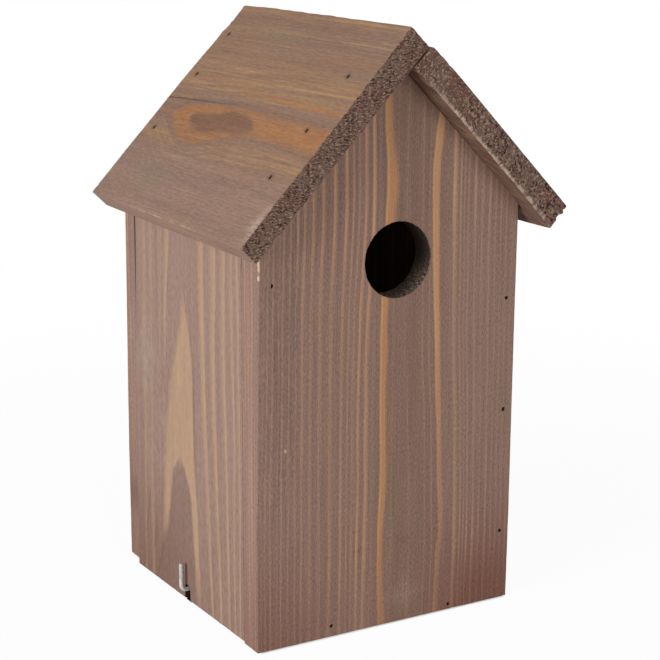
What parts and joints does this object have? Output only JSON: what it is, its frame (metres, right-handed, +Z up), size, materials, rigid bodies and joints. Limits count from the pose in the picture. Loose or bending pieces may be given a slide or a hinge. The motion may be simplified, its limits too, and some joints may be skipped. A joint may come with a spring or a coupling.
{
  "type": "bird nest box",
  "caption": "Wooden bird nest box with a gable roof, a round entrance hole and a side board that swings open for cleaning, held shut by a turning hook.",
  "frame": {"origin": "middle of the base, on the surface that the box stands on, midway between the front and the back face", "axes": "+Z up, front with the entrance hole towards -Y, the swinging side board towards -X"},
  "size_m": [0.1555, 0.1445, 0.2535],
  "materials": {
    "front_wood": "brown stained rough pine",
    "back_wood": "brown stained rough pine",
    "wall_wood": "brown stained rough pine",
    "door_wood": "brown stained pine with cathedral grain",
    "roof_wood": "brown stained pine with rough sawn ends",
    "floor_wood": "stained pine, unplaned",
    "nail_steel": "dull dark steel",
    "hook_zinc": "bright zinc plated wire"
  },
  "bodies": {
    "box": {"front_panel": "front_wood", "back_panel": "back_wood", "right_wall": "wall_wood", "floor_board": "floor_wood", "roof_left": "roof_wood", "roof_right": "roof_wood", "pivot_nail_front": "nail_steel", "pivot_nail_back": "nail_steel", "wall_nail_front_1": "nail_steel", "wall_nail_front_2": "nail_steel", "wall_nail_front_3": "nail_steel", "wall_nail_back_1": "nail_steel", "wall_nail_back_2": "nail_steel", "wall_nail_back_3": "nail_steel", "floor_nail_front_1": "nail_steel", "floor_nail_front_2": "nail_steel", "floor_nail_back_1": "nail_steel", "floor_nail_back_2": "nail_steel", "roof_brad_left_front_1": "nail_steel", "roof_brad_left_front_2": "nail_steel", "roof_brad_left_front_3": "nail_steel", "roof_brad_left_back_1": "nail_steel", "roof_brad_left_back_2": "nail_steel", "roof_brad_left_back_3": "nail_steel", "roof_brad_right_front_1": "nail_steel", "roof_brad_right_front_2": "nail_steel", "roof_brad_right_front_3": "nail_steel", "roof_brad_right_back_1": "nail_steel", "roof_brad_right_back_2": "nail_steel", "roof_brad_right_back_3": "nail_steel"},
    "door": {"cleaning_door": "door_wood"},
    "latch": {"latch_hook": "hook_zinc"}
  },
  "joints": [
    {"name": "door_swing", "type": "hinge", "parent": "box", "child": "door", "pos_m": [-0.0565, 0, 0.1551], "axis": [0, 1, 0], "range_deg": [0, 112]},
    {"name": "latch_turn", "type": "hinge", "parent": "box", "child": "latch", "pos_m": [-0.0625, 0.0016, 0.0054], "axis": [1, 0, 0], "range_deg": [0, 180]}
  ]
}
